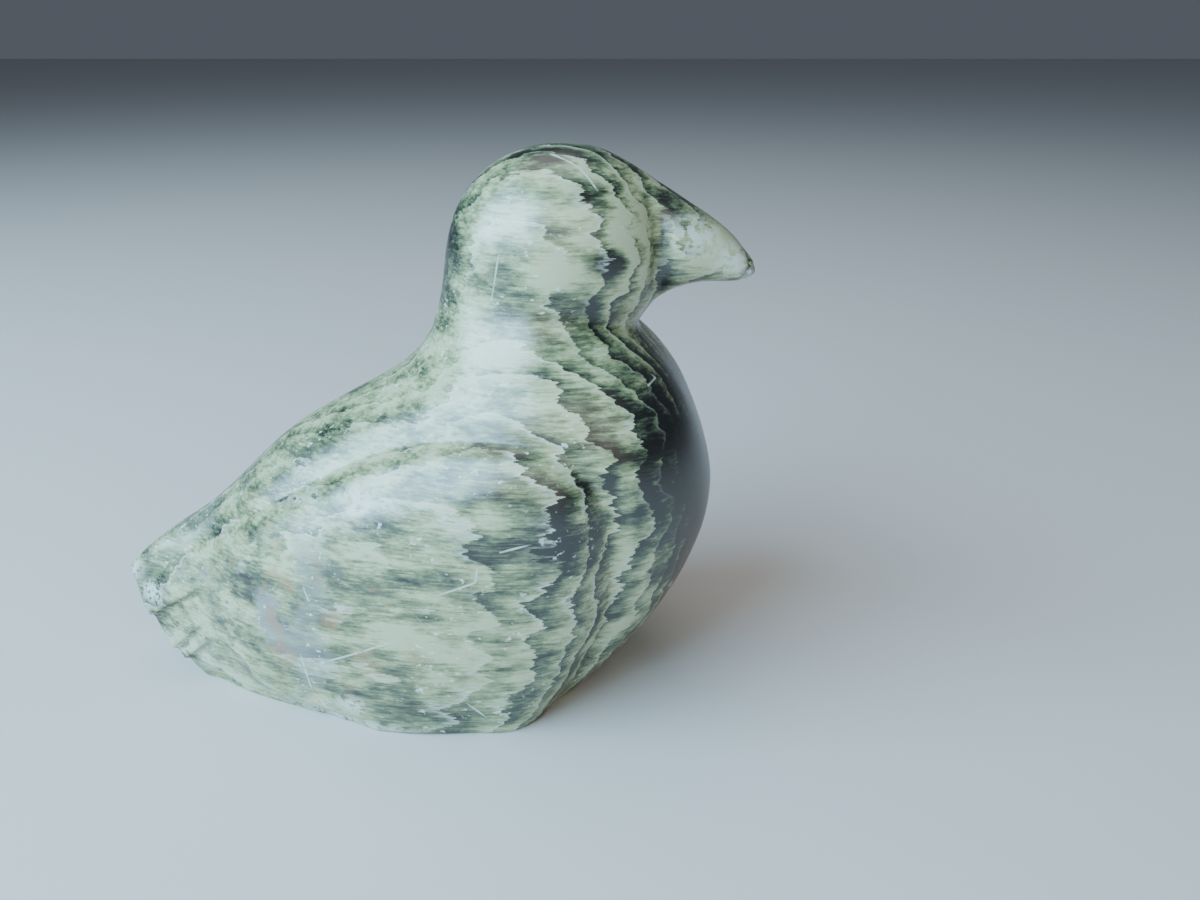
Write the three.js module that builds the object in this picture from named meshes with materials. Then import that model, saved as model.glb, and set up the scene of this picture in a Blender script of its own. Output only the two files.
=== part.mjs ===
// Soapstone bird carving: one solid piece, standing on its own flat underside.
// Millimetres, +Z up. X runs along the bird (tail at -X, beak at +X), Y across it,
// the table is Z = 0 and the bird is the same on both sides of Y = 0.
import * as THREE from "three";

// Sizes that change along the bird are lists of [position, size] pairs.

// Body, by position X along the bird.
const BACK_HEIGHT = [[-68, 22], [-59, 29.7], [-46, 38.6], [-32, 51.5], [-20, 59.8], [-6, 67.3], [16, 79.7],
  [36, 86.2], [60, 87.5]];
const HALF_WIDTH = [[-68, 3.4], [-59, 6.8], [-49, 12.3], [-37, 20.9], [-22, 28.6], [-4, 33.7], [16, 36.5],
  [36, 35]];
const FOOT_HALF_WIDTH = [[-60, 2], [-53, 7], [-44, 13.8], [-34, 19.6], [-22, 24.4], [-6, 29.7], [8, 30.1],
  [26, 27]];
const WIDEST_HEIGHT = [[-68, 6], [-44, 13.2], [-24, 23], [-4, 33], [16, 43], [36, 45]];
const TAIL_SQUARENESS = 0.8;

// Chest, forward of CHEST_START: how far it reaches, by height Z.
const CHEST_START = 16;
const CHEST_REACH = [[0, 24.4], [9, 31], [20, 37.8], [32, 42], [45, 43.2], [58, 42.3], [72, 41.5], [85, 40]];
const CHEST_SQUARENESS = 1.3;

// Tail end: a gently curved face across the bird, leaning back to its top corner.
const TAIL_TIP_X = -66.6;
const TAIL_TIP_Z = 23;
const TAIL_LEAN = 21.7;
const TAIL_END_RADIUS = 64.7;

// Head and neck: ellipsoids, by centre and half sizes in X, Y, Z.
const HEAD_CENTRE = [28.2, 0, 92.2];
const HEAD_HALF = [21.4, 18, 20];
const NECK_CENTRE = [21, 0, 72];
const NECK_HALF = [17.6, 16, 30];
const CHEEK_FRONT_X = 46.6;
const CHEEK_ROUND = 3;
const HEAD_BLEND = 8;
const NAPE_BLEND = 17;
const THROAT_BLEND = 5;

// Beak, by position X along the bird.
const BEAK_TOP = [[36, 108.9], [44, 106.7], [53, 101.4], [62, 94.7], [67, 89.3]];
const BEAK_BOTTOM = [[36, 76], [44, 80.3], [50, 84.1], [56, 85.7], [62, 85.8], [67, 86.5]];
const BEAK_HALF_WIDTH = [[36, 7.6], [43, 7.2], [46, 7.3], [50, 8.5], [56, 7.4], [62, 5.6], [67, 3.7], [69, 3]];
const BEAK_WIDEST = 0.42;
const BEAK_SQUARENESS = 2.4;
const BEAK_TIP_X = 67;
const BEAK_TIP_ROUND = 3.5;
const BEAK_ROOT_X = 34;
const BEAK_CREASE = 2.2;
const BEAK_CROWN_BLEND = 1.5;

// Wing: its edge in side view from the tail over the shoulder and down the front,
// and the hollow carved along it, by share of the way along the edge.
const WING_EDGE = [[-67.5, 17.5], [-47, 30.3], [-26.5, 46], [-9.2, 56.8], [8, 62], [26, 60.3], [36.6, 48],
  [38.2, 32.5], [33.2, 15], [22, -2]];
const HOLLOW_DEPTH = [[0, 0.6], [0.25, 0.8], [0.45, 1.15], [0.62, 1.3], [0.8, 1.7], [1, 1.3]];
const HOLLOW_OFFSET = [[0, 2], [0.25, 2.3], [0.45, 2.7], [0.62, 2], [0.8, 0.3], [1, 0.3]];
const HOLLOW_OUTER = [[0, 2.4], [0.45, 2.4], [0.62, 3.6], [0.8, 4.8], [1, 4]];
const HOLLOW_INNER = [[0, 2.2], [0.45, 2.2], [0.8, 2.6], [1, 2.4]];
const WING_SWELL = 0.8;
const WING_SWELL_INSET = 9;
const WING_SWELL_SPREAD = 6;

// Tail feathers: three lapped steps fanning from the tail end, each a line in side view.
const FEATHERS = [[[-64, 10.5], [-42.5, 27.3]], [[-59, 1.5], [-45, 19.5]], [[-52.5, -1], [-43, 11.5]]];
const FEATHER_LIFT = 0.7;
const FEATHER_WIDTH = 5;
const FEATHER_STEP = 2;

// Grid the skin is drawn on, and how alike the directions in a smooth cell are.
const GRID = 3;
const SMOOTH = 0.75;
const LOW = [-75, -45, -4.5];
const HIGH = [75, 45, 118.5];

// Smooth curve through [position, size] pairs, level beyond its ends.
function through(pairs) {
  const n = pairs.length;
  const gap = (i) => pairs[i + 1][0] - pairs[i][0];
  const slope = (i) => (pairs[i + 1][1] - pairs[i][1]) / gap(i);
  const bend = new Array(n).fill(0);
  const lead = new Array(n).fill(0);
  for (let i = 1; i < n - 1; i += 1) {
    const pivot = 2 * (gap(i - 1) + gap(i)) - gap(i - 1) * lead[i - 1];
    lead[i] = gap(i) / pivot;
    bend[i] = (6 * (slope(i) - slope(i - 1)) - gap(i - 1) * bend[i - 1]) / pivot;
  }
  for (let i = n - 2; i > 0; i -= 1) {
    bend[i] -= lead[i] * bend[i + 1];
  }
  return (position) => {
    const x = Math.min(Math.max(position, pairs[0][0]), pairs[n - 1][0]);
    let i = 0;
    while (i < n - 2 && x >= pairs[i + 1][0]) {
      i += 1;
    }
    const t = x - pairs[i][0];
    const rise = slope(i) - gap(i) * (2 * bend[i] + bend[i + 1]) / 6;
    return pairs[i][1] + t * rise + t * t * bend[i] / 2 + t ** 3 * (bend[i + 1] - bend[i]) / (6 * gap(i));
  };
}

// Union and intersection of two signed distances with a fillet of the given size.
function join(a, b, fillet) {
  const overlap = Math.max(fillet - Math.abs(a - b), 0) / fillet;
  return Math.min(a, b) - overlap ** 3 * fillet / 6;
}

function meet(a, b, fillet) {
  return -join(-a, -b, fillet);
}

// 0 below the first value, 1 above the second, eased between them.
function ease(from, to, value) {
  const t = Math.min(Math.max((value - from) / (to - from), 0), 1);
  return t * t * (3 - 2 * t);
}

function ellipsoid(x, y, z, centre, half) {
  const p = [(x - centre[0]) / half[0], (y - centre[1]) / half[1], (z - centre[2]) / half[2]];
  const k = Math.hypot(...p) + 1e-6;
  const steepness = Math.hypot(p[0] / half[0], p[1] / half[1], p[2] / half[2]) / k + 1e-9;
  return (k - 1) / steepness;
}

const backHeight = through(BACK_HEIGHT);
const halfWidth = through(HALF_WIDTH);
const footHalfWidth = through(FOOT_HALF_WIDTH);
const widestHeight = through(WIDEST_HEIGHT);
const chestReach = through(CHEST_REACH);

// Body: an egg-shaped section at every X, closed at the front by the chest.
function body(x, y, z) {
  const wide = halfWidth(x);
  const middle = widestHeight(x);
  const reach = chestReach(z);
  const below = middle / Math.sqrt(Math.max(1 - (footHalfWidth(x) / wide) ** 2, 0.05));
  const tall = z > middle ? backHeight(x) - middle : below;
  const across = Math.abs(y) / wide;
  const up = (z - middle) / tall;
  const ahead = Math.max(x - CHEST_START, 0) / reach;
  const plan = 2 + CHEST_SQUARENESS * ease(30, 70, z);
  const round = (across ** plan + ahead ** plan) ** (1 / plan) + 1e-9;
  const section = z > middle ? 2 + TAIL_SQUARENESS * (1 - ease(-58, -20, x)) : 2;
  const k = (round ** section + Math.abs(up) ** section) ** (1 / section) + 1e-6;
  const steepness = Math.hypot(across / wide, up / tall, ahead / reach) / k + 1e-6;
  return (k - 1) / steepness;
}

const beakTop = through(BEAK_TOP);
const beakBottom = through(BEAK_BOTTOM);
const beakHalfWidth = through(BEAK_HALF_WIDTH);

// Beak: a squarish oval section running out to a blunt tip.
function beak(x, y, z) {
  const top = beakTop(x);
  const bottom = beakBottom(x);
  const wide = beakHalfWidth(x);
  const middle = bottom + BEAK_WIDEST * (top - bottom);
  const tall = z > middle ? top - middle : middle - bottom;
  const across = (Math.abs(y) / wide) ** BEAK_SQUARENESS;
  const k = (across + (Math.abs(z - middle) / tall) ** BEAK_SQUARENESS) ** (1 / BEAK_SQUARENESS);
  const side = (k - 1) * Math.min(wide, tall);
  return meet(meet(side, x - BEAK_TIP_X, BEAK_TIP_ROUND), BEAK_ROOT_X - x, 3);
}

const wingCurve = new THREE.SplineCurve(WING_EDGE.map(([x, z]) => new THREE.Vector2(x, z)));
const wingPoints = Array.from({ length: 91 }, (_, i) => wingCurve.getPoint(i / 90));

// Distance from the wing edge in side view (outside the wing is positive), and the
// share of the way along it.
function fromWingEdge(x, z) {
  let nearest = Infinity;
  let side = 1;
  let along = 0;
  for (let i = 0; i < wingPoints.length - 1; i += 1) {
    const a = wingPoints[i];
    const step = wingPoints[i + 1].clone().sub(a);
    const part = ((x - a.x) * step.x + (z - a.y) * step.y) / step.lengthSq();
    const t = Math.min(Math.max(part, 0), 1);
    const distance = Math.hypot(x - a.x - t * step.x, z - a.y - t * step.y);
    if (distance < nearest) {
      nearest = distance;
      side = Math.sign(step.x * (z - a.y) - step.y * (x - a.x));
      along = (i + t) / (wingPoints.length - 1);
    }
  }
  return [nearest * side, along];
}

const hollowDepth = through(HOLLOW_DEPTH);
const hollowOffset = through(HOLLOW_OFFSET);
const hollowOuter = through(HOLLOW_OUTER);
const hollowInner = through(HOLLOW_INNER);

// Height of the carving above the plain body: wing hollow, wing swell, tail feathers.
function carving(x, z) {
  const [distance, along] = fromWingEdge(x, z);
  const fromHollow = distance - hollowOffset(along);
  const spread = fromHollow > 0 ? hollowOuter(along) : hollowInner(along);
  let height = -hollowDepth(along) * Math.exp(-((fromHollow / spread) ** 2));
  const fromSwell = (distance + WING_SWELL_INSET) / WING_SWELL_SPREAD;
  height += WING_SWELL * Math.exp(-(fromSwell ** 2)) * ease(0.1, 0.3, along);
  for (const [[ax, az], [bx, bz]] of FEATHERS) {
    const length = Math.hypot(bx - ax, bz - az);
    const run = ((x - ax) * (bx - ax) + (z - az) * (bz - az)) / length;
    const above = ((z - az) * (bx - ax) - (x - ax) * (bz - az)) / length;
    const ramp = Math.min(Math.max(1 - above / FEATHER_WIDTH, 0), 1) * ease(-FEATHER_STEP, 0, above);
    height += FEATHER_LIFT * ramp * (1 - ease(0.35 * length, length, run));
  }
  return height;
}

const lean = THREE.MathUtils.degToRad(TAIL_LEAN);
const tailCentreX = TAIL_TIP_X + TAIL_END_RADIUS * Math.cos(lean);
const tailCentreZ = TAIL_TIP_Z + TAIL_END_RADIUS * Math.sin(lean);

// Whole bird as a signed distance, negative inside the stone.
function bird(x, y, z) {
  const skull = meet(ellipsoid(x, y, z, HEAD_CENTRE, HEAD_HALF), x - CHEEK_FRONT_X, CHEEK_ROUND);
  const headAndNeck = join(skull, ellipsoid(x, y, z, NECK_CENTRE, NECK_HALF), HEAD_BLEND);
  const crease = BEAK_CREASE + BEAK_CROWN_BLEND * ease(97, 106, z);
  const withBeak = join(headAndNeck, beak(x, y, z), crease);
  const fillet = NAPE_BLEND + (THROAT_BLEND - NAPE_BLEND) * ease(22, 40, x);
  let shape = join(withBeak, body(x, y, z), fillet);
  shape -= carving(x, z) * ease(1.5, 5, Math.abs(y));
  if (x < BEAK_ROOT_X - 68) {
    const tailEnd = Math.hypot(x - tailCentreX, z - tailCentreZ) - TAIL_END_RADIUS;
    shape = Math.max(shape, tailEnd);
  }
  return Math.max(shape, -z);
}

// Outward direction of the surface at a point.
function outward({ x, y, z }) {
  const small = 0.02;
  return new THREE.Vector3(
    bird(x + small, y, z) - bird(x - small, y, z),
    bird(x, y + small, z) - bird(x, y - small, z),
    bird(x, y, z + small) - bird(x, y, z - small),
  ).normalize();
}

// Where the surface crosses the line from one grid corner to the next.
function crossing(from, to) {
  const solidFrom = bird(...from) < 0;
  let near = 0;
  let far = 1;
  const spot = new THREE.Vector3();
  for (let pass = 0; pass < 12; pass += 1) {
    const t = (near + far) / 2;
    spot.set(...from).lerp(new THREE.Vector3(...to), t);
    if ((bird(...spot) < 0) === solidFrom) {
      near = t;
    } else {
      far = t;
    }
  }
  return { spot, normal: outward(spot) };
}

// Point for one grid cell: where the tangent planes at its crossings meet best, so
// that the edges of the tail end and the underside stay crisp. Where the surface is
// smooth the point is then moved straight onto it.
function cellPoint(crossings) {
  const middle = new THREE.Vector3();
  const facing = new THREE.Vector3();
  for (const { spot, normal } of crossings) {
    middle.addScaledVector(spot, 1 / crossings.length);
    facing.add(normal);
  }
  facing.normalize();
  const hold = 0.01 * crossings.length;
  const sums = [hold, 0, 0, 0, hold, 0, 0, 0, hold];
  const pull = new THREE.Vector3();
  for (const { spot, normal } of crossings) {
    const n = normal.toArray();
    n.forEach((a, row) => n.forEach((b, column) => {
      sums[3 * row + column] += a * b;
    }));
    pull.addScaledVector(normal, normal.dot(spot.clone().sub(middle)));
  }
  const shift = pull.applyMatrix3(new THREE.Matrix3().set(...sums).invert());
  const point = middle.add(shift.clampLength(0, 0.7 * GRID));
  if (crossings.every(({ normal }) => normal.dot(facing) > SMOOTH)) {
    for (let pass = 0; pass < 3; pass += 1) {
      point.addScaledVector(outward(point), -bird(...point));
    }
  }
  if (crossings.some(({ spot }) => spot.z < 0.01)) {
    point.z = 0;
  }
  return point.toArray();
}

// Closed skin of the bird: one point in every grid cell the surface passes through,
// and one four-sided face across every grid edge it crosses.
function skin() {
  const count = LOW.map((low, axis) => Math.round((HIGH[axis] - low) / GRID) + 1);
  const at = (i, j, k) => (i * count[1] + j) * count[2] + k;
  const corner = (cell) => cell.map((c, axis) => LOW[axis] + c * GRID);
  const solid = [];
  for (let i = 0; i < count[0]; i += 1) {
    for (let j = 0; j < count[1]; j += 1) {
      for (let k = 0; k < count[2]; k += 1) {
        solid.push(bird(...corner([i, j, k])) < 0);
      }
    }
  }

  const cells = new Map();
  const rings = [];
  for (let axis = 0; axis < 3; axis += 1) {
    const u = (axis + 1) % 3;
    const v = (axis + 2) % 3;
    const cell = [0, 0, 0];
    for (cell[0] = 1; cell[0] < count[0] - 1; cell[0] += 1) {
      for (cell[1] = 1; cell[1] < count[1] - 1; cell[1] += 1) {
        for (cell[2] = 1; cell[2] < count[2] - 1; cell[2] += 1) {
          const next = cell.map((c, n) => (n === axis ? c + 1 : c));
          const solidHere = solid[at(...cell)];
          if (solidHere !== solid[at(...next)]) {
            const crossed = crossing(corner(cell), corner(next));
            const ring = [[1, 1], [0, 1], [0, 0], [1, 0]].map(([du, dv]) => {
              const beside = [...cell];
              beside[u] -= du;
              beside[v] -= dv;
              const key = at(...beside);
              cells.set(key, [...(cells.get(key) ?? []), crossed]);
              return key;
            });
            rings.push(solidHere ? ring : ring.reverse());
          }
        }
      }
    }
  }
  const order = new Map([...cells.keys()].map((key, n) => [key, n]));
  const points = [...cells.values()].map(cellPoint);
  return [points, rings.map((ring) => ring.map((key) => order.get(key)))];
}

// Splits every four-sided face along its shorter diagonal.
function toGeometry([points, faces]) {
  const apart = (a, b) => Math.hypot(...points[a].map((c, n) => c - points[b][n]));
  const index = [];
  for (const [a, b, c, d] of faces) {
    if (apart(a, c) <= apart(b, d)) {
      index.push(a, b, c, a, c, d);
    } else {
      index.push(a, b, d, b, c, d);
    }
  }
  const geometry = new THREE.BufferGeometry();
  geometry.setAttribute("position", new THREE.Float32BufferAttribute(points.flat(), 3));
  geometry.setIndex(index);
  geometry.computeVertexNormals();
  return geometry;
}

const soapstone = new THREE.MeshStandardMaterial({ color: 0x7f8f76, roughness: 0.35, metalness: 0 });
const mesh = new THREE.Mesh(toGeometry(skin()), soapstone);
mesh.name = "bird";

const group = new THREE.Group();
group.add(mesh);

export default group;
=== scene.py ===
"""Soapstone bird carving: the finely carved skin, its stone and the studio around it."""

import math

import bpy
import numpy as np
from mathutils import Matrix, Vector


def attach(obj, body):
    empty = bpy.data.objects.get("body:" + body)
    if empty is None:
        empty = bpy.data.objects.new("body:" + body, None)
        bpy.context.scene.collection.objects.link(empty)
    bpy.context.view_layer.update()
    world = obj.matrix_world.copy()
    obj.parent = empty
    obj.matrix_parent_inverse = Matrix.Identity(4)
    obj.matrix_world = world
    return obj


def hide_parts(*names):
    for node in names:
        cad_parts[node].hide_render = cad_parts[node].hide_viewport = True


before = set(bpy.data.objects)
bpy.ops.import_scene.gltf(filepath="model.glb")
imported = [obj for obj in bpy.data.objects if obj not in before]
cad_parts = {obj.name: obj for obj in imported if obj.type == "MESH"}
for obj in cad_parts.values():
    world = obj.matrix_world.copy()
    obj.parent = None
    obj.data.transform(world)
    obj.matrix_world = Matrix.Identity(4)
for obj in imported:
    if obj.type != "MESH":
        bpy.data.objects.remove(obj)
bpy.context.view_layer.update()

MM = 0.001

# ---------------------------------------------------------------- camera

CAMERA_PLACE = (0.036, -0.214, 0.136)
CAMERA_DOWN = math.radians(22)
LENS = 33


def add_camera():
    data = bpy.data.cameras.new("camera")
    data.lens = LENS
    data.sensor_width = 36
    data.clip_start = 0.01
    camera = bpy.data.objects.new("camera", data)
    camera.location = CAMERA_PLACE
    camera.rotation_euler = (math.pi / 2 - CAMERA_DOWN, 0, 0)
    bpy.context.scene.collection.objects.link(camera)
    bpy.context.scene.camera = camera


add_camera()

# ---------------------------------------------------------------- form, in millimetres

# Sizes that change along the bird: positions, then the size at each.
BACK_HEIGHT = ([-68, -59, -46, -32, -20, -6, 16, 36, 60],
               [22, 29.7, 38.6, 51.5, 59.8, 67.3, 79.7, 86.2, 87.5])
HALF_WIDTH = ([-68, -59, -49, -37, -22, -4, 16, 36],
              [3.4, 6.8, 12.3, 20.9, 28.6, 33.7, 36.5, 35])
FOOT_HALF_WIDTH = ([-60, -53, -44, -34, -22, -6, 8, 26],
                   [2, 7, 13.8, 19.6, 24.4, 29.7, 30.1, 27])
WIDEST_HEIGHT = ([-68, -44, -24, -4, 16, 36], [6, 13.2, 23, 33, 43, 45])
TAIL_SQUARENESS = 0.8
CHEST_START = 16
CHEST_REACH = ([0, 9, 20, 32, 45, 58, 72, 85],
               [24.4, 31, 37.8, 42, 43.2, 42.3, 41.5, 40])
CHEST_SQUARENESS = 1.3
TAIL_TIP = (-66.6, 23)
TAIL_LEAN = math.radians(21.7)
TAIL_END_RADIUS = 64.7
TAIL_END_ROUND = 1.2
HEAD = ((28.2, 0, 92.2), (21.4, 18, 20))
NECK = ((21, 0, 72), (17.6, 16, 30))
CHEEK_FRONT = 46.6
HEAD_BLEND = 8
NAPE_BLEND = 17
THROAT_BLEND = 5
BEAK_TOP = ([36, 44, 53, 62, 67], [108.9, 106.7, 101.4, 94.7, 89.3])
BEAK_BOTTOM = ([36, 44, 50, 56, 62, 67], [76, 80.3, 84.1, 85.7, 85.8, 86.5])
BEAK_HALF_WIDTH = ([36, 43, 46, 50, 56, 62, 67, 69],
                   [7.6, 7.2, 7.3, 8.5, 7.4, 5.6, 3.7, 3])
BEAK_WIDEST = 0.42
BEAK_SQUARENESS = 2.4
BEAK_TIP = 67
BEAK_ROOT = 34
BEAK_CREASE = 2.2
UNDERSIDE_ROUND = 0.9

# Wing edge in side view, and the hollow carved along it by share of the way along.
WING_EDGE = [(-67.5, 17.3), (-46.7, 32.6), (-25.2, 47), (-5.3, 57.6), (12, 62.3), (27, 61.3),
             (36, 52.5), (38.2, 38), (37.4, 24), (32.2, 10.5), (25.5, -2)]
HOLLOW_PLACES = [0, 0.15, 0.3, 0.45, 0.55, 0.7, 0.85, 1]
HOLLOW_DEPTH = (HOLLOW_PLACES, [1, 1.3, 1.8, 1.7, 1.4, 2.4, 2.5, 2])
HOLLOW_OUTER = (HOLLOW_PLACES, [3, 3.4, 4, 4, 4, 4.6, 4.4, 3.8])
HOLLOW_INNER = (HOLLOW_PLACES, [1.2, 1.1, 1, 1.2, 1.9, 3.2, 3, 2.4])
WING_SWELL = 1
WING_SWELL_INSET = 8

# Tail feathers: each a line in side view, from the tail end forward, and its width.
FEATHERS = [
    ((-64.5, 11.1), (-42.5, 27.1), 6.5),
    ((-61, 1.6), (-45.2, 18.2), 6),
    ((-57.5, 0.8), (-43.4, 14.9), 3.6),
]
FEATHER_LIFT = 1.2
FEATHER_UNDERCUT = 0.35

# Bevel along the foot behind the wing: its upper edge in side view.
BEVEL_EDGE = [(-43.4, 14.9), (-36.6, 11.2), (-31.2, 6.2), (-25.5, 4.6), (-19.4, 4.2),
              (-12.4, 2.2), (-7, -1)]
BEVEL_RIDGE = 0.35
BEVEL_SLOPE = 0.3

GRID = 0.7
LOW = np.array([-70.7, -40.25, -2.45])
HIGH = np.array([70.7, 40.25, 115.5])


def through(places, sizes):
    """Smooth curve through sizes at places, level beyond its ends."""
    k = np.asarray(places, float)
    v = np.asarray(sizes, float)
    gap = np.diff(k)
    slope = np.diff(v) / gap
    rows = np.eye(len(k))
    right = np.zeros(len(k))
    for i in range(1, len(k) - 1):
        rows[i, i - 1:i + 2] = gap[i - 1], 2 * (gap[i - 1] + gap[i]), gap[i]
        right[i] = 6 * (slope[i] - slope[i - 1])
    bend = np.linalg.solve(rows, right)

    def curve(x):
        x = np.clip(x, k[0], k[-1])
        i = np.clip(np.searchsorted(k, x, side="right") - 1, 0, len(k) - 2)
        t = x - k[i]
        rise = slope[i] - gap[i] * (2 * bend[i] + bend[i + 1]) / 6
        return v[i] + t * rise + t * t * bend[i] / 2 + t ** 3 * (bend[i + 1] - bend[i]) / (6 * gap[i])

    return curve


def join(a, b, fillet):
    overlap = np.maximum(fillet - np.abs(a - b), 0) / fillet
    return np.minimum(a, b) - overlap ** 3 * fillet / 6


def meet(a, b, fillet):
    return -join(-a, -b, fillet)


def ease(start, end, value):
    """0 at start, 1 at end, eased between them."""
    t = np.clip((value - start) / (end - start), 0, 1)
    return t * t * (3 - 2 * t)


def ellipsoid(x, y, z, centre, half):
    p = [(v - c) / h for v, c, h in zip((x, y, z), centre, half)]
    k = np.sqrt(p[0] ** 2 + p[1] ** 2 + p[2] ** 2) + 1e-6
    steepness = np.sqrt(sum((v / h) ** 2 for v, h in zip(p, half))) / k + 1e-9
    return (k - 1) / steepness


back_height, half_width, foot_half_width = (through(*c) for c in (BACK_HEIGHT, HALF_WIDTH, FOOT_HALF_WIDTH))
widest_height, chest_reach = through(*WIDEST_HEIGHT), through(*CHEST_REACH)
beak_top, beak_bottom, beak_half_width = (through(*c) for c in (BEAK_TOP, BEAK_BOTTOM, BEAK_HALF_WIDTH))


def body(x, y, z):
    wide = half_width(x)
    middle = widest_height(x)
    reach = chest_reach(z)
    below = middle / np.sqrt(np.maximum(1 - (foot_half_width(x) / wide) ** 2, 0.05))
    tall = np.where(z > middle, back_height(x) - middle, below)
    across = np.abs(y) / wide
    up = (z - middle) / tall
    ahead = np.maximum(x - CHEST_START, 0) / reach
    plan = 2 + CHEST_SQUARENESS * ease(30, 70, z)
    ring = (across ** plan + ahead ** plan) ** (1 / plan) + 1e-9
    section = 2 + TAIL_SQUARENESS * (1 - ease(-58, -20, x)) * (z > middle)
    k = (ring ** section + np.abs(up) ** section) ** (1 / section) + 1e-6
    steepness = np.sqrt((across / wide) ** 2 + (up / tall) ** 2 + (ahead / reach) ** 2) / k + 1e-6
    return (k - 1) / steepness


def beak(x, y, z):
    top, bottom, wide = beak_top(x), beak_bottom(x), beak_half_width(x)
    middle = bottom + BEAK_WIDEST * (top - bottom)
    tall = np.where(z > middle, top - middle, middle - bottom)
    across = (np.abs(y) / wide) ** BEAK_SQUARENESS
    k = (across + (np.abs(z - middle) / tall) ** BEAK_SQUARENESS) ** (1 / BEAK_SQUARENESS)
    side = (k - 1) * np.minimum(wide, tall)
    return meet(meet(side, x - BEAK_TIP, 3.5), BEAK_ROOT - x, 3)


def smooth_line(corners, pieces=90):
    """Points along a smooth curve through corners."""
    p = np.array([corners[0], *corners, corners[-1]], float)
    points = []
    for step in np.linspace(0, len(corners) - 1, pieces + 1):
        i = min(int(step), len(corners) - 2)
        t = step - i
        a, b, c, d = p[i:i + 4]
        v, w = (c - a) / 2, (d - b) / 2
        points.append((2 * b - 2 * c + v + w) * t ** 3 + (3 * c - 3 * b - 2 * v - w) * t * t + v * t + b)
    return np.array(points)


def from_line(line, x, z):
    """Distance to the left of a line in side view, and the share of the way along it."""
    nearest = np.full(x.shape, 1e9)
    side = np.ones(x.shape)
    along = np.zeros(x.shape)
    for i, (a, b) in enumerate(zip(line, line[1:])):
        run = b - a
        t = np.clip(((x - a[0]) * run[0] + (z - a[1]) * run[1]) / (run @ run), 0, 1)
        square = (x - a[0] - t * run[0]) ** 2 + (z - a[1] - t * run[1]) ** 2
        closer = square < nearest
        nearest[closer] = square[closer]
        side[closer] = np.sign(run[0] * (z - a[1]) - run[1] * (x - a[0]))[closer]
        along[closer] = ((i + t) / (len(line) - 1))[closer]
    return np.sqrt(nearest) * side, along


hollow_depth, hollow_outer, hollow_inner = (
    through(*c) for c in (HOLLOW_DEPTH, HOLLOW_OUTER, HOLLOW_INNER))


def carving(x, z):
    """Height of the wing and tail carving above the plain body, seen from the side."""
    distance, along = from_line(smooth_line(WING_EDGE), x, z)
    wall = np.where(distance > 0, distance / hollow_outer(along), -distance / hollow_inner(along))
    height = -hollow_depth(along) * np.exp(-wall ** 1.4)
    height += WING_SWELL * np.exp(-((distance + WING_SWELL_INSET) / 6) ** 2) * ease(0.1, 0.3, along)
    for a, b, width in FEATHERS:
        run = np.subtract(b, a)
        length = np.hypot(*run)
        run = run / length
        forward = (x - a[0]) * run[0] + (z - a[1]) * run[1]
        above = (z - a[1]) * run[0] - (x - a[0]) * run[1]
        raised = FEATHER_LIFT * np.clip(1 - above / width, 0, 1) * ease(-0.5, 0.2, above)
        undercut = FEATHER_UNDERCUT * np.exp(-((above + 0.9) / 0.8) ** 2)
        height += (raised - undercut) * (1 - ease(0.55 * length, 1.05 * length, forward))
    above, along = from_line(smooth_line(BEVEL_EDGE), x, z)
    ends = ease(0, 0.12, along) * (1 - ease(0.85, 1, along))
    height += ends * (BEVEL_RIDGE * np.exp(-(above / 1.2) ** 2) - BEVEL_SLOPE * np.clip(-above, 0, 5))
    return height


class SideMap:
    """The carving worked out once on a fine side-view grid, then read at any point."""

    STEP = 0.25

    def __init__(self):
        self.size = [int((HIGH[a] - LOW[a]) / self.STEP) + 2 for a in (0, 2)]
        x, z = np.meshgrid(*(LOW[a] + self.STEP * np.arange(n) for a, n in zip((0, 2), self.size)),
                           indexing="ij")
        self.height = carving(x, z)

    def __call__(self, x, z):
        u = np.clip((x - LOW[0]) / self.STEP, 0, self.size[0] - 1.001)
        v = np.clip((z - LOW[2]) / self.STEP, 0, self.size[1] - 1.001)
        i, j = u.astype(int), v.astype(int)
        u, v = u - i, v - j
        h = self.height
        return ((h[i, j] * (1 - u) + h[i + 1, j] * u) * (1 - v)
                + (h[i, j + 1] * (1 - u) + h[i + 1, j + 1] * u) * v)


side_map = SideMap()


def bird(x, y, z):
    """Signed distance to the stone, negative inside."""
    skull = meet(ellipsoid(x, y, z, *HEAD), x - CHEEK_FRONT, 3)
    head_and_neck = join(skull, ellipsoid(x, y, z, *NECK), HEAD_BLEND)
    with_beak = join(head_and_neck, beak(x, y, z), BEAK_CREASE + 1.5 * ease(97, 106, z))
    fillet = NAPE_BLEND + (THROAT_BLEND - NAPE_BLEND) * ease(22, 40, x)
    shape = join(with_beak, body(x, y, z), fillet)
    shape = shape - side_map(x, z) * ease(1.5, 5, np.abs(y))
    centre = np.add(TAIL_TIP, TAIL_END_RADIUS * np.array([math.cos(TAIL_LEAN), math.sin(TAIL_LEAN)]))
    tail_end = np.hypot(x - centre[0], z - centre[1]) - TAIL_END_RADIUS
    shape = np.where(x < -34, meet(shape, tail_end, TAIL_END_ROUND), shape)
    return meet(shape, -z, UNDERSIDE_ROUND)


def outward(p, small=0.03):
    slope = np.empty_like(p)
    for axis in range(3):
        nudge = np.zeros(3)
        nudge[axis] = small
        slope[:, axis] = (bird(*(p + nudge).T) - bird(*(p - nudge).T)) / (2 * small)
    return slope


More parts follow.
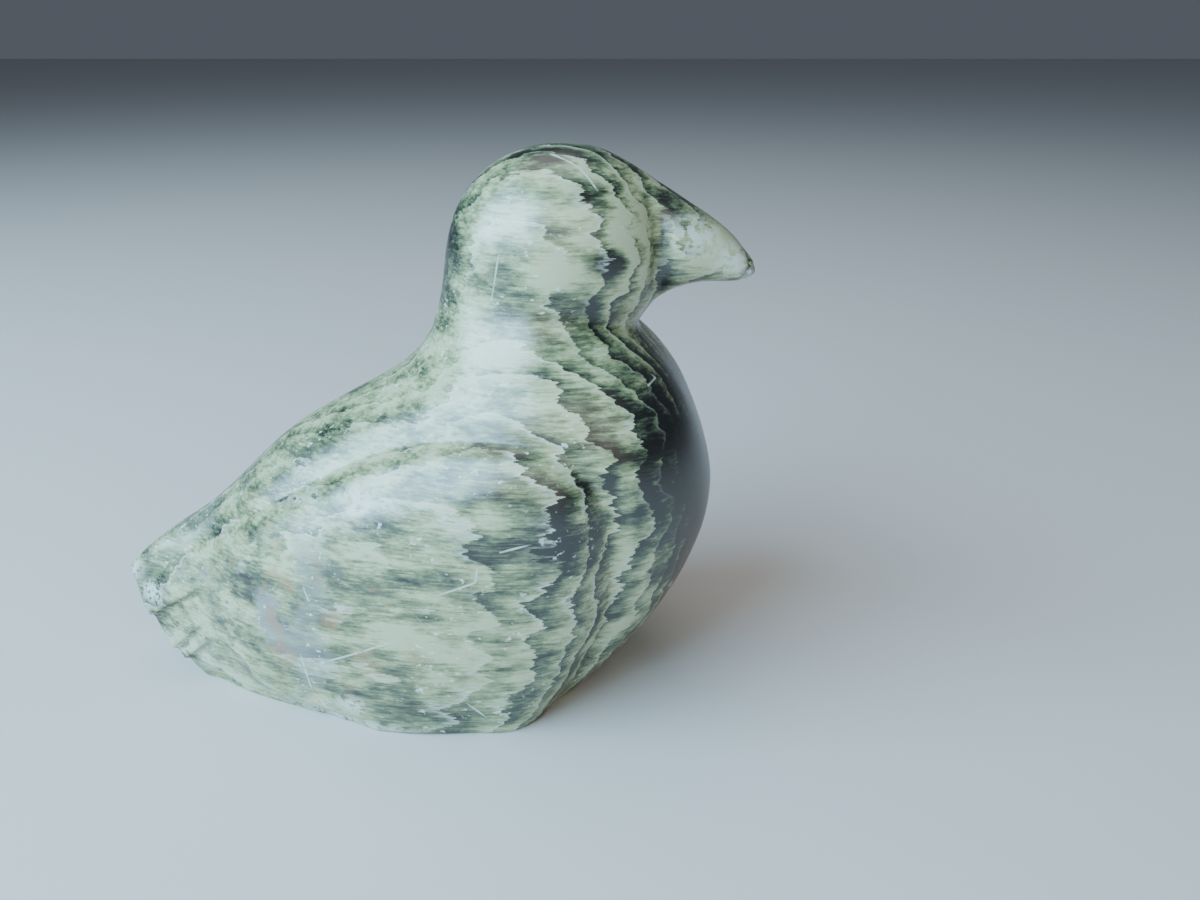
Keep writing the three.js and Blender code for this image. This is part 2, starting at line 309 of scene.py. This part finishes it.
def skin():
    """Points and four-sided faces of the bird's surface: a point in each grid cell that
    the surface passes through, and a face across each grid edge that it crosses."""
    count = np.round((HIGH - LOW) / GRID).astype(int) + 1
    axes = [LOW[a] + GRID * np.arange(count[a]) for a in range(3)]
    value = np.empty(count)
    for i, x in enumerate(axes[0]):
        y, z = np.meshgrid(axes[1], axes[2], indexing="ij")
        value[i] = bird(np.full(y.shape, x), y, z)
    solid = value < 0
    total = np.zeros((*(count - 1), 3))
    crossings = np.zeros(count - 1)
    for corner in np.ndindex(2, 2, 2):
        for axis in range(3):
            if corner[axis] == 0:
                far = list(corner)
                far[axis] = 1
                a, b = (value[tuple(slice(c, c + n - 1) for c, n in zip(q, count))] for q in (corner, far))
                crossed = (a < 0) != (b < 0)
                share = np.where(crossed, a / np.where(crossed, a - b, 1), 0)
                for other in range(3):
                    total[..., other] += np.where(crossed, share if other == axis else corner[other], 0)
                crossings += crossed
    used = crossings > 0
    number = np.full(used.shape, -1)
    number[used] = np.arange(used.sum())
    cells = np.argwhere(used)
    points = LOW + GRID * (cells + total[used] / crossings[used][:, None])
    faces = []
    for axis in range(3):
        u, v = (axis + 1) % 3, (axis + 2) % 3
        here, there = [slice(1, -1)] * 3, [slice(1, -1)] * 3
        here[axis], there[axis] = slice(0, -1), slice(1, None)
        here, there = solid[tuple(here)], solid[tuple(there)]
        ring = []
        for du, dv in ((0, 0), (1, 0), (1, 1), (0, 1)):
            cut = [slice(None)] * 3
            cut[u], cut[v] = slice(du, du + here.shape[u]), slice(dv, dv + here.shape[v])
            ring.append(number[tuple(cut)])
        ring = np.stack(ring, -1)
        faces += [ring[here & ~there], ring[there & ~here][:, ::-1]]
    return points, np.concatenate(faces)


def settle(points):
    """Moves points onto the surface and returns them with their outward directions."""
    for _ in range(3):
        slope = outward(points)
        square = np.maximum((slope ** 2).sum(1), 0.04)
        move = np.clip(bird(*points.T) / square, -GRID, GRID)
        points = points - slope * move[:, None]
    slope = outward(points)
    return points, slope / np.linalg.norm(slope, axis=1)[:, None]


def grain(points, size, seed):
    """Smooth random values between -1 and 1, with lumps about size across."""
    table = np.random.default_rng(seed).uniform(-1, 1, (64, 64, 64))
    place = points / size
    base = np.floor(place).astype(int)
    t = place - base
    t = t * t * (3 - 2 * t)
    total = np.zeros(len(points))
    for corner in np.ndindex(2, 2, 2):
        weight = np.prod(np.where(corner, t, 1 - t), axis=1)
        total += weight * table[tuple(((base + corner) % 64).T)]
    return total


def near(points, centre, half):
    """1 in the middle of a soft oval, 0 outside it."""
    return 1 - ease(0.35, 1, np.sqrt((((points - centre) / half) ** 2).sum(1)))


def wear(points):
    """How far the hand carving and its knocks lie below the smooth form."""
    x, y, z = points.T
    depth = 0.13 * (1 + grain(points, 13, 1)) + 0.05 * (1 + grain(points, 6, 2))
    rough = np.abs(grain(points, 1.6, 3)) + 0.5 * np.abs(grain(points, 0.9, 4))
    depth += 0.9 * rough * ease(62.5, 65.5, x + 0.5 * grain(points, 3, 5))
    depth += 0.8 * near(points, (64, -2.5, 87.6), (2.4, 2.2, 1.8))
    depth += 0.7 * rough * near(points, (-66.5, -1, 23), (3, 4, 4))
    foot = ease(2.6, 0.6, z) * ease(-2, -14, x) * ease(2, -4, y)
    depth += 0.9 * rough * foot * ease(-0.3, 0.4, grain(points, 5, 6))
    tail = near(points, (-50, -13, 9), (11, 9, 10))
    depth += 0.5 * np.abs(grain(points, 2.4, 7)) * tail
    return depth * ease(0.02, 0.5, z)


def stone_piece():
    points, faces = skin()
    points, facing = settle(points)
    points -= facing * wear(points)[:, None]
    points[:, 2] = np.where(points[:, 2] < 0.04, 0, points[:, 2])
    mesh = bpy.data.meshes.new("carved_bird")
    mesh.from_pydata((points * MM).tolist(), [], faces.tolist())
    mesh.shade_smooth()
    piece = bpy.data.objects.new("carved_bird", mesh)
    bpy.context.scene.collection.objects.link(piece)
    return piece


# ---------------------------------------------------------------- shader sums


class Sum:
    """One shader socket, so that shader maths reads as Python."""

    def __init__(self, shader, socket):
        self.shader = shader
        self.socket = socket

    def maths(self, operation, *others, clamp=False):
        terms = dict(enumerate((self, *others)))
        return self.shader.node("ShaderNodeMath", {"operation": operation, "use_clamp": clamp}, terms)

    def __add__(self, other):
        return self.maths("ADD", other)

    __radd__ = __add__

    def __mul__(self, other):
        return self.maths("MULTIPLY", other)

    __rmul__ = __mul__

    def __sub__(self, other):
        return self.maths("SUBTRACT", other)

    def __rsub__(self, other):
        return self * -1 + other

    def __truediv__(self, other):
        return self.maths("DIVIDE", other)

    def least(self, other):
        return self.maths("MINIMUM", other)

    def most(self, other):
        return self.maths("MAXIMUM", other)

    def ease(self, start, end):
        """0 at start, 1 at end, eased between them; start may be the larger."""
        settings = {"interpolation_type": "SMOOTHSTEP"}
        sockets = {"Value": self, "From Min": start, "From Max": end}
        if start > end:
            sockets.update({"From Min": end, "From Max": start, "To Min": 1.0, "To Max": 0.0})
        return self.shader.node("ShaderNodeMapRange", settings, sockets)

    def vector(self, operation, *others, out=0):
        terms = dict(enumerate((self, *others)))
        return self.shader.node("ShaderNodeVectorMath", {"operation": operation}, terms, out)

    def dot(self, other):
        return self.vector("DOT_PRODUCT", other, out="Value")

    def times(self, direction):
        """A fixed direction made this number of times as long."""
        copies = self.shader.node("ShaderNodeCombineXYZ", {}, {"X": self, "Y": self, "Z": self})
        return copies.vector("MULTIPLY", direction)


class Shader:
    """A material's nodes, made one at a time by node()."""

    def __init__(self, name):
        self.material = bpy.data.materials.new(name)
        self.material.use_nodes = True
        self.tree = self.material.node_tree
        self.tree.nodes.clear()

    def node(self, kind, settings=None, sockets=None, out=0):
        n = self.tree.nodes.new(kind)
        for name, value in (settings or {}).items():
            if name == "stops":
                while len(n.color_ramp.elements) < len(value):
                    n.color_ramp.elements.new(0.5)
                for element, (place, colour) in zip(n.color_ramp.elements, value):
                    element.position = place
                    element.color = (*colour, 1)
            else:
                setattr(n, name, value)
        for name, value in (sockets or {}).items():
            if isinstance(value, Sum):
                self.tree.links.new(value.socket, n.inputs[name])
            else:
                n.inputs[name].default_value = value
        return Sum(self, n.outputs[out]) if len(n.outputs) else None

    def mix(self, share, first, second):
        colours = [(*c, 1) if isinstance(c, tuple) else c for c in (first, second)]
        sockets = {"Factor": share, 6: colours[0], 7: colours[1]}
        return self.node("ShaderNodeMix", {"data_type": "RGBA"}, sockets, 2)

    def ramp(self, value, stops):
        return self.node("ShaderNodeValToRGB", {"stops": stops}, {"Fac": value})

    def noise(self, place, scale, detail=2.0, rough=0.5, stretch=(1, 1, 1)):
        place = place.vector("MULTIPLY", tuple(scale * k for k in stretch))
        sockets = {"Vector": place, "Scale": 1.0, "Detail": detail, "Roughness": rough}
        return self.node("ShaderNodeTexNoise", {}, sockets)

    def finish(self, surface):
        shader = self.node("ShaderNodeBsdfPrincipled", {}, surface)
        self.node("ShaderNodeOutputMaterial", {}, {"Surface": shader})
        return self.material


# ---------------------------------------------------------------- stone

# The stone is laid down in thin layers that face the bird's right side and lean
# back a little, so their edges crowd together round the breast and open out on the wing.
LAYER_FACING = (-0.33, -0.95, 0.02)
LAYER_THICKNESS = 4.2
WANDER = 10
TONGUES = 11
FRINGE = 3.2

PALE = (0.46, 0.53, 0.34)
LEAF = (0.27, 0.335, 0.175)
MOSS = (0.115, 0.155, 0.085)
DEEP = (0.033, 0.046, 0.031)
BLACK = (0.008, 0.010, 0.009)
RIM = (0.62, 0.71, 0.66)
SLATE = (0.25, 0.29, 0.30)
# Brownish rust stain, also used for the painted orange highlight along the foot bevel.
RUST_AND_WARM_HIGHLIGHT = (0.36, 0.20, 0.09)

# Soft dark (+) and pale (-) areas of the stone's tone, a few of them painted shade or painted highlight as
# marked: centre, half sizes, strength.
AREAS = [
    ((22, -36, 48), (19, 14, 13), 0.40),
    ((17, -36, 50.5), (10, 12, 4.5), -0.65),
    ((29, -35, 42), (8, 10, 8), 0.35),
    ((3, -35, 24), (24, 16, 10), -0.30),
    ((-8, -31, 8), (17, 14, 6), 0.35),
    # The next two darken the breast front: partly the stone's own dark band, partly painted shade for the
    # dark room mirrored in the glossy breast.
    ((46, -24, 60), (9, 16, 24), 0.5),
    ((58, -10, 52), (14, 28, 38), 1.3),
    ((40.5, -31, 50), (2.6, 12, 24), -0.45),
    ((28, -18, 91.5), (9, 10, 4.5), -0.5),
    ((37.5, -16, 92.5), (5, 8, 3.5), 0.55),
    ((25, -17, 84), (12, 10, 4), 0.40),
    ((42, -13, 99), (6, 9, 11), -0.5),
    ((36, -16, 101), (9, 8, 7), -0.25),
    ((30, -6, 112), (20, 10, 5), 0.35),
    # Painted shade in the recess between the cheek edge and the beak.
    ((48, 0, 95), (2.2, 12, 12), 0.85),
    ((57, 0, 103), (12, 8, 3), 0.5),
    ((58, -7, 92), (10, 8, 7), -0.75),
    # Paler neck and shoulder: partly the stone's pale tone, partly a painted highlight.
    ((12, -20, 74), (24, 12, 12), -0.4),
    ((-33, -22, 30), (7, 8, 5), 0.35),
    ((6, -2, 96), (6, 14, 22), 0.35),
]


# Fine scratches on the right side, each a line through places on the skin.
SCRATCHES = [
    ((1.4, -34.7, 29.8), (4.4, -35, 26.1), (-2, -33.9, 24.3), (-17.9, -29.6, 16.6)),
    ((4.9, -35.4, 34.3), (13.1, -36.3, 37.9), (13.6, -36.4, 40.7)),
    ((17.9, -36.5, 44.2), (26.1, -35.7, 46.4)),
    ((-23.2, -27.8, 17.1), (-22, -26.8, 7.8), (-17.9, -26.7, 2.2)),
    ((8.7, -33.1, 10.2), (15.9, -29.9, 2.1)),
    ((-20, -29, 30), (-24, -26.5, 39)),
    ((26.8, -6.3, 110.9), (32.4, -9.6, 108.7), (35.6, -12.3, 105.1)),
    ((17.5, -15.7, 94), (15.9, -15.4, 85.6)),
    ((39.7, -17.8, 75.4), (46.4, -16.8, 71), (44.9, -20, 70.5)),
    ((15.6, -24.2, 70.2), (26.9, -24.1, 73.4)),
    ((41.5, -25.5, 26.4), (39, -23.5, 19), (36.6, -21.5, 11.9)),
]
# Painted orange highlight along the upper edge of the foot bevel: a line through places on the right side.
BEVEL_HIGHLIGHT_LINE = [(-39.5, -19, 13), (-35, -20.5, 9.5), (-31.2, -22, 6.2), (-25.5, -24, 4.6), (-19.4, -25.5, 4.2)]

# Places where knocks have left the stone white: centre and half sizes.
CHIPPED = [
    ((65.5, -2.5, 88), (3.2, 5, 4)),
    ((-66, -2, 23), (4, 6, 4)),
    ((-60, -6, 19), (5, 5, 3)),
    ((-20, -26, 1.2), (26, 8, 2.2)),
    ((-8.8, -27, 50.4), (7, 5, 3)),
    ((-14, -28.9, 6.2), (4, 5, 3)),
    ((55, -8, 96), (7, 6, 5)),
    ((62, -5, 91), (5, 5, 4)),
]


def patch(place, centre, half):
    """1 at the centre of a soft oval patch, falling to 0 a little past its half sizes."""
    offset = place.vector("SUBTRACT", centre).vector("DIVIDE", half)
    return offset.vector("LENGTH", out="Value").ease(1.25, 0.15)


def beside(place, line, half_width):
    """1 on a line through places on the right side of the bird, 0 beyond its half width."""
    nearest = None
    for a, b in zip(line, line[1:]):
        run = Vector(b) - Vector(a)
        step = place.vector("SUBTRACT", a)
        share = step.dot(tuple(run / run.length_squared)).maths("MAXIMUM", 0).least(1)
        along = share.times(tuple(run))
        gap = step.vector("SUBTRACT", along).vector("LENGTH", out="Value")
        nearest = gap if nearest is None else nearest.least(gap)
    return nearest.ease(half_width, 0.3 * half_width)


def rubbed_places(stone, place, fibres):
    """Where the polish has gone white: specks, fine scratches, the beak tip, tail and foot edge."""
    specks = stone.noise(place, 0.9, 2, 0.5, (0.6, 1, 1)).ease(0.64, 0.72)
    worn = specks * stone.noise(place, 0.07, 2).ease(0.45, 0.6) * place.dot((1, 0, 0)).ease(44, 30)
    for line in SCRATCHES:
        worn = worn.most(beside(place, line, 0.3) * fibres.ease(0.38, 0.5))
    broken = stone.noise(place, 0.55, 5, 0.7)
    for centre, half in CHIPPED:
        worn = worn.most(broken.ease(0.42, 0.52) * patch(place, centre, half))
    return worn * 0.85


def soapstone():
    stone = Shader("polished_soapstone")
    place = stone.node("ShaderNodeTexCoord", out="Object").vector("MULTIPLY", (1 / MM,) * 3)
    forward = place.dot((1, 0, 0))
    wander = stone.noise(place, 0.022, 2)
    tongues = stone.noise(place, 0.06, 3, 0.6, (0.4, 1, 1.8))
    fringe = stone.noise(place, 0.5, 5, 0.65, (0.3, 0.8, 1.9))
    height = place.dot(LAYER_FACING) + WANDER * wander + TONGUES * tongues + FRINGE * fringe
    layers = height / LAYER_THICKNESS
    layer = layers.maths("FLOOR")
    within = layers - layer
    chance = stone.node("ShaderNodeTexWhiteNoise", {"noise_dimensions": "1D"}, {"W": layer})
    fibres = stone.noise(place, 0.8, 7, 0.75, (0.2, 0.7, 2.4))
    mottle = stone.noise(place, 0.12, 6, 0.7, (0.6, 1, 1.5))
    banding = 0.35 + 0.65 * forward.ease(5, 32)
    dark = 0.32 + banding * (within - 0.4) * (0.35 + 0.75 * chance)
    dark = dark + (fibres - 0.5) * 1.7 + (mottle - 0.5) * 2.6
    # Adds the tone areas, painted shade and painted highlight among them.
    for centre, half, strength in AREAS:
        dark = dark + strength * patch(place, centre, half)
    colour = stone.ramp(dark, [(0.0, PALE), (0.28, LEAF), (0.52, MOSS), (0.78, DEEP), (1.0, BLACK)])
    slate = stone.noise(place, 0.07, 4, 0.6).ease(0.48, 0.62) * patch(place, (-34, -20, 26), (36, 26, 30))
    colour = stone.mix(slate * 0.75, colour, SLATE)
    rim_share = stone.noise(place, 0.08, 3).ease(0.42, 0.6) * forward.ease(52, 36)
    rim = within.ease(0.22, 0.0) * fibres.ease(0.40, 0.58) * rim_share
    colour = stone.mix(rim * 0.8, colour, RIM)
    worn = rubbed_places(stone, place, fibres)
    colour = stone.mix(worn, colour, RIM)
    rust = stone.noise(place, 0.16, 4).ease(0.55, 0.62) * patch(place, (-24, -24, 26), (40, 20, 26))
    colour = stone.mix(rust * 0.45, colour, RUST_AND_WARM_HIGHLIGHT)
    # Painted orange highlight on the bevel's edge, in the rust colour.
    bevel_highlight = beside(place, BEVEL_HIGHLIGHT_LINE, 0.35) * fibres.ease(0.35, 0.5)
    colour = stone.mix(bevel_highlight * 0.8, colour, RUST_AND_WARM_HIGHLIGHT)
    roughness = 0.15 + 0.16 * fibres + 0.25 * worn
    bump = stone.node("ShaderNodeBump", {}, {"Strength": 0.3, "Distance": 0.0002, "Height": fibres})
    return stone.finish({"Base Color": colour, "Roughness": roughness, "Normal": bump,
                         "IOR": 1.6, "Specular IOR Level": 0.8})


# ---------------------------------------------------------------- studio


def plain(name, colour, roughness):
    return Shader(name).finish({"Base Color": (*colour, 1), "Roughness": roughness})


FLOOR_SIZE = 6


def add_floor():
    bpy.ops.mesh.primitive_plane_add(size=FLOOR_SIZE)
    floor = bpy.context.object
    floor.name = "floor"
    floor.data.materials.append(plain("floor", (0.62, 0.61, 0.6), 0.7))


def add_light(name, place, size, power, colour, target=(0, 0, 0.05)):
    data = bpy.data.lights.new(name, "AREA")
    data.shape = "RECTANGLE"
    data.size, data.size_y = size
    data.energy = power
    data.color = colour
    light = bpy.data.objects.new(name, data)
    light.location = place
    light.rotation_euler = (Vector(target) - Vector(place)).to_track_quat("-Z", "Y").to_euler()
    bpy.context.scene.collection.objects.link(light)


def add_studio():
    add_floor()
    add_light("window", (-0.52, -0.36, 0.46), (0.85, 0.62), 20, (0.46, 0.76, 1))
    add_light("overhead", (-0.1, 0.2, 0.9), (0.7, 0.7), 2.5, (1, 0.97, 0.93))
    add_light("room", (0.10, -0.85, 0.55), (1.1, 0.8), 4, (1, 0.9, 0.74))
    world = bpy.data.worlds.new("studio")
    world.use_nodes = True
    world.node_tree.nodes["Background"].inputs["Color"].default_value = (0.36, 0.41, 0.5, 1)
    world.node_tree.nodes["Background"].inputs["Strength"].default_value = 0.25
    bpy.context.scene.world = world


# ---------------------------------------------------------------- assembly

add_studio()
bird_piece = stone_piece()
bird_piece.data.materials.append(soapstone())
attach(bird_piece, "root")
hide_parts("bird")
